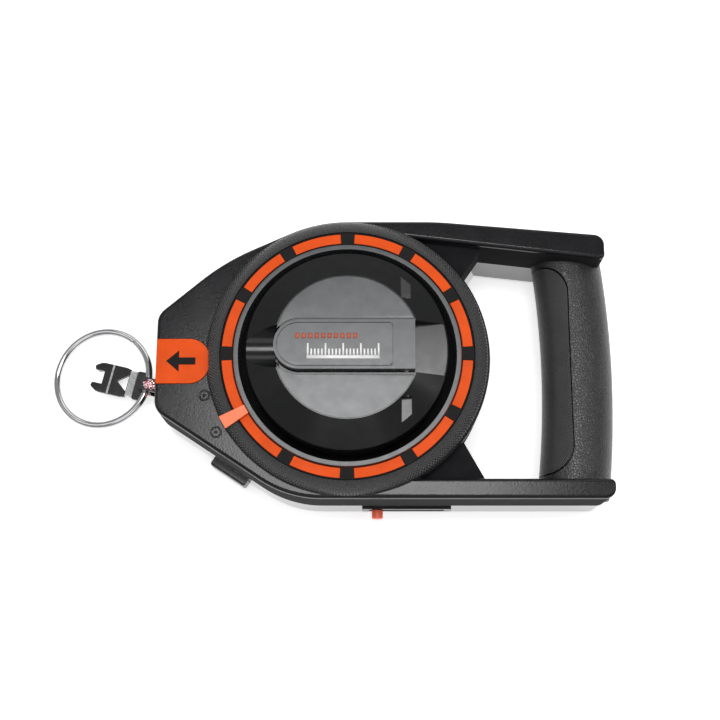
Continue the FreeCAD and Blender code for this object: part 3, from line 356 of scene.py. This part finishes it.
def foil(name):
    """Crinkled red foil with pale pink-white flecks painted into its colour as a sheen."""
    f = Finish(name, (0.6, 0.1, 0.12), 0.22, metallic=0.8)
    # painted sheen: pale pink-white flecks mixed into the red foil's colour
    sheen_flecks = f.remap(f.noise(1.3, 3.0, 0.6), 0.42, 0.58, 0, 1)
    f.color(f.mix(sheen_flecks, (0.45, 0.015, 0.03), (0.90, 0.70, 0.72)))
    f.bump(f.cells(1.1), 0.35, 0.9)
    return f.mat


FINISHES = {
    "case_plastic": case_plastic(),
    "gloss_shell": gloss_black("gloss_shell", 0.006, 0.06, 0.5),
    "rim_grey": satin("rim_grey", 0.085, 0.26, 0.5, 0.002, 0.3),
    "orange_plastic": tinted_plastic("orange_plastic", (0.72, 0.073, 0.001), 0.50, 0.15),
    "tab_plastic": tinted_plastic("tab_plastic", (0.90, 0.17, 0.05)),
    "mark_black": tinted_plastic("mark_black", (0.010, 0.009, 0.009), 0.6, 0.12),
    "steel": metal("steel", (0.50, 0.50, 0.51), 0.25, (1, 1, 4)),
    "gear_brass": metal("gear_brass", (0.62, 0.44, 0.17), 0.3, (3, 3, 1)),
    "acetal": satin("acetal", 0.62, 0.45),
    "grip_rubber": leather(),
    "pad_rubber": diamonds(),
    "hub_black": satin("hub_black", 0.006, 0.20, 0.30, 0.001, 0.35),
    "hub_satin": satin("hub_satin", 0.085, 0.22, 0.30, 0.001, 0.35),
    "handle_satin": satin("handle_satin", 0.070, 0.24, 0.30, 0.001, 0.35),
    "plate_film": satin("plate_film", 0.080, 0.24, 0.30, 0.001, 0.35),
    "tape_yellow": woven_tape(),
    "chrome_ring": metal("chrome_ring", (0.56, 0.56, 0.57), 0.10, depth_mm=0.003),
    "clip_chrome": foil("clip_foil"),
    "hook_black": gloss_black("hook_black", 0.008, 0.14),
    "sleeve_metal": knurled("sleeve_metal", (0.90, 0.90, 0.91)),
    "red_plastic": tinted_plastic("red_plastic", (0.88, 0.13, 0.06), 0.25),
    "felt": felt(),
    "track_black": gloss_black("track_black", 0.010, 0.22),
}
REPAINTED = {"bezel_ring": "mark_black"}              # darker in the photo than its slot's finish

# ---- edges of the carried-over parts ------------------------------------------------------
EDGE_MM = {"front_shell": 0.35, "rear_shell": 0.35, "crank_handle": 0.7, "handle_plate": 0.2,
           "hub_cheeks": 0.15, "bezel_ring": 0.25, "lock_ring": 0.2, "lock_tab": 0.45,
           "nose_badge": 0.3, "badge_mark": 0.12, "well_liner": 0.15, "slide_track": 0.4,
           "brake_button": 0.3, "hook_blade": 0.35, "hook_root": 0.4, "hook_sleeve": 0.3,
           "hook_bar": 0.15, "end_clip": 0.2, "mouth_insert": 0.25, "finger_pad": 0.35,
           "grip_core": 0.35}
EDGE_DEG = 32                                         # a sharper turn than this is an edge
FINE_EDGE_DEG = {"crank_hub": 12}                     # keeps the hub's shallow slots crisp


def refine(name, slot_name):
    """Round the sharp edges of a carried-over part and give it its finish."""
    obj = nodes[name]
    obj.data.materials.clear()
    obj.data.materials.append(FINISHES[REPAINTED.get(name, slot_name)])
    weld = obj.modifiers.new("weld", "WELD")
    weld.merge_threshold = 0.001 * MM
    if name in EDGE_MM:
        ease(obj, EDGE_MM[name])
    else:
        split_edges(obj, FINE_EDGE_DEG.get(name, EDGE_DEG))
    smooth(obj.data)


def ease(obj, width_mm):
    edge = obj.modifiers.new("edges", "BEVEL")
    edge.width = width_mm * MM
    edge.segments = 2
    edge.limit_method = "ANGLE"
    edge.angle_limit = math.radians(EDGE_DEG)
    edge.use_clamp_overlap = True
    shade = obj.modifiers.new("shade", "WEIGHTED_NORMAL")
    shade.mode = "FACE_AREA"
    shade.weight = 80


def split_edges(obj, degrees):
    split = obj.modifiers.new("split", "EDGE_SPLIT")
    split.split_angle = math.radians(degrees)


def smooth(mesh):
    for polygon in mesh.polygons:
        polygon.use_smooth = True


# ---- added pieces -------------------------------------------------------------------------
def new_piece(bm, name, finish, body):
    bmesh.ops.recalc_face_normals(bm, faces=bm.faces)
    mesh = bpy.data.meshes.new(name)
    bm.to_mesh(mesh)
    bm.free()
    mesh.materials.append(finish)
    smooth(mesh)
    obj = bpy.data.objects.new(name, mesh)
    bpy.context.scene.collection.objects.link(obj)
    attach(obj, body)
    return obj


def print_block(bm, x, y):
    """A thin printed block on the plate; x and y are (from, to) in mm."""
    z = (CAP_TOP_Z - PRINT_SINK * MM, CAP_TOP_Z + PRINT_RISE * MM)
    corners = [bm.verts.new((i * MM, j * MM, k)) for i in x for j in y for k in z]
    for face in ((0, 1, 3, 2), (4, 6, 7, 5), (0, 4, 5, 1), (2, 3, 7, 6), (0, 2, 6, 4), (1, 5, 7, 3)):
        bm.faces.new([corners[i] for i in face])


def plate_marks():
    """A plain ruler and a row of orange dashes printed on the handle's plate."""
    body = nodes["handle_plate"]["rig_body"]
    white = tinted_plastic("print_white", (0.86, 0.86, 0.85), 0.4)
    bm = bmesh.new()
    print_block(bm, RULE_X, RULE_Y)
    for i in range(TICKS):
        x = TICK_X + i * TICK_STEP
        top = TICK_SHORT if i % LONG_EVERY else TICK_LONG
        print_block(bm, (x - TICK_HALF, x + TICK_HALF), (TICK_FOOT, top))
    new_piece(bm, "plate_ruler", white, body)
    orange = tinted_plastic("print_orange", (0.42, 0.10, 0.06), 0.4)
    bm = bmesh.new()
    for i in range(DASHES):
        x = DASH_X + i * DASH_STEP
        print_block(bm, (x, x + DASH_LENGTH), DASH_Y)
    new_piece(bm, "plate_bar", orange, body)


def stitch(bm, loops):
    """Close a run of vertex loops into a ring-shaped skin."""
    for i, a in enumerate(loops):
        b = loops[(i + 1) % len(loops)]
        for j in range(len(a)):
            k = (j + 1) % len(a)
            bm.faces.new((a[j], b[j], b[k], a[k]))


def lathe(bm, profile_mm, steps, place):
    loops = []
    for i in range(steps):
        turn = place @ Matrix.Rotation(2 * math.pi * i / steps, 4, "Z")
        loops.append([bm.verts.new(turn @ Vector((r * MM, 0, z * MM))) for r, z in profile_mm])
    stitch(bm, loops)


def lock_marks():
    """Two small round marks moulded into the case beside the lock tab's ends of travel."""
    bm = bmesh.new()
    for degrees, radius_mm in MARK_PLACES:
        turn = math.radians(degrees)
        x, y = radius_mm * MM * math.cos(turn), radius_mm * MM * math.sin(turn)
        place = Matrix.Translation((x, y, FRONT_Z))
        lathe(bm, MARK_RIM, 40, place)
        lathe(bm, MARK_DOT, 40, place)
    body = nodes["front_shell"]["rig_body"]
    obj = new_piece(bm, "lock_marks", FINISHES["case_plastic"], body)
    split_edges(obj, 50)


def ring_plane(points):
    """Centre and plane normal of the ring whose surface points are given."""
    centre = sum(points, Vector()) / len(points)
    far = max(points, key=lambda p: (p - centre).length)
    u = (far - centre).normalized()
    best = max(points, key=lambda p: (p - centre).cross(u).length)
    normal = u.cross(best - centre).normalized()
    if normal.z < 0:
        normal.negate()
    return centre, normal


def wire_ring():
    """A split ring of round wire; a pinch shows where the wire ends."""
    source = nodes["end_ring"]
    points = [v.co.copy() for v in source.data.vertices]
    centre, normal = ring_plane(points)
    radial = [((p - centre) - normal * (p - centre).dot(normal)).length for p in points]
    wire_r = (max(radial) - min(radial)) / 2
    ring_r = (max(radial) + min(radial)) / 2
    across = (Vector((1, 0, 0)) - normal * normal.x).normalized()
    up = normal.cross(across)
    bm = bmesh.new()
    steps, sides = 180, 24
    loops = []
    for i in range(steps):
        t = 2 * math.pi * i / steps
        out = across * math.cos(t) + up * math.sin(t)
        thickness = wire_r * (1.0 - SPLIT_DEPTH * math.exp(-((t - SPLIT_TURN) / SPLIT_WIDTH) ** 2))
        loop = []
        for j in range(sides):
            p = 2 * math.pi * j / sides
            offset = out * math.cos(p) + normal * math.sin(p)
            loop.append(bm.verts.new(centre + out * ring_r + offset * thickness))
        loops.append(loop)
    stitch(bm, loops)
    obj = new_piece(bm, "wire_ring", FINISHES["chrome_ring"], source["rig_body"])
    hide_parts("end_ring")


def flat_middle(box):
    """Middle of a box, dropped to the rear face."""
    lo, hi = box
    return Vector(((lo.x + hi.x) / 2, (lo.y + hi.y) / 2, 0))


def eye_wrap():
    """The crinkled red end of the tape, folded over the hook's eye."""
    eye = flat_middle(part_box("eye_pin"))
    along = (flat_middle(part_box("hook_bar")) - eye).normalized()
    side = Vector((-along.y, along.x, 0))
    centre = eye + along * WRAP_AHEAD * MM + Vector((0, 0, WRAP_Z * MM))
    long, wide, tall = (half * MM for half in WRAP_HALF)
    bm = bmesh.new()
    bmesh.ops.create_icosphere(bm, subdivisions=4, radius=1.0)
    for v in bm.verts:
        x, y, z = v.co
        lump = 1.0 + 0.10 * math.sin(9 * x + 4 * y) + 0.08 * math.sin(11 * y - 5 * x + 3 * z)
        v.co = centre + along * x * long * lump + side * y * wide * lump + Vector((0, 0, z * tall))
    body = nodes["hook_root"]["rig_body"]
    new_piece(bm, "eye_wrap", FINISHES["clip_chrome"], body)


plate_marks()
lock_marks()
wire_ring()
eye_wrap()
for part in frame["record"]["subparts"]:
    refine(part["node"], part["material_slot"])


# ---- lamps, floor and camera --------------------------------------------------------------
def area_light(name, place, target, extent, power):
    lamp = bpy.data.lights.new(name, "AREA")
    lamp.shape = "RECTANGLE"
    lamp.size, lamp.size_y = extent
    lamp.energy = power
    obj = bpy.data.objects.new(name, lamp)
    bpy.context.scene.collection.objects.link(obj)
    obj.location = place
    obj.rotation_euler = (Vector(target) - Vector(place)).to_track_quat("-Z", "Y").to_euler()


def floor():
    bpy.ops.mesh.primitive_plane_add(size=FLOOR_SIZE, location=(0, 0, -0.3 * MM))
    plane = bpy.context.object
    plane.name = "floor"
    f = Finish("floor_white", (0.92, 0.92, 0.92), 0.85, specular=0.1)
    f.mottled((0.94, 0.94, 0.94), (0.95, 0.95, 0.95), 200.0)
    f.shader.inputs["Emission Color"].default_value = (1, 1, 1, 1)
    f.shader.inputs["Emission Strength"].default_value = FLOOR_GLOW
    plane.data.materials.append(f.mat)


def camera():
    """Almost overhead, leaning 14 degrees towards the lower rail."""
    data = bpy.data.cameras.new("camera")
    data.lens = LENS_MM
    data.sensor_width = SENSOR_MM
    data.clip_start = 0.01
    obj = bpy.data.objects.new("camera", data)
    bpy.context.scene.collection.objects.link(obj)
    away = Vector((0, -math.sin(LEAN), math.cos(LEAN)))
    obj.location = Vector((AIM_X, AIM_Y, FRONT_Z)) + DISTANCE * away
    obj.rotation_euler = (LEAN, 0, 0)
    bpy.context.scene.camera = obj


def world():
    w = bpy.data.worlds.new("studio")
    w.use_nodes = True
    back = w.node_tree.nodes["Background"]
    back.inputs["Color"].default_value = (1, 1, 1, 1)
    back.inputs["Strength"].default_value = SKY
    bpy.context.scene.world = w


floor()
camera()
world()
for lamp_name, settings in LAMPS.items():
    area_light(lamp_name, *settings)
bpy.context.scene.view_settings.view_transform = "Standard"
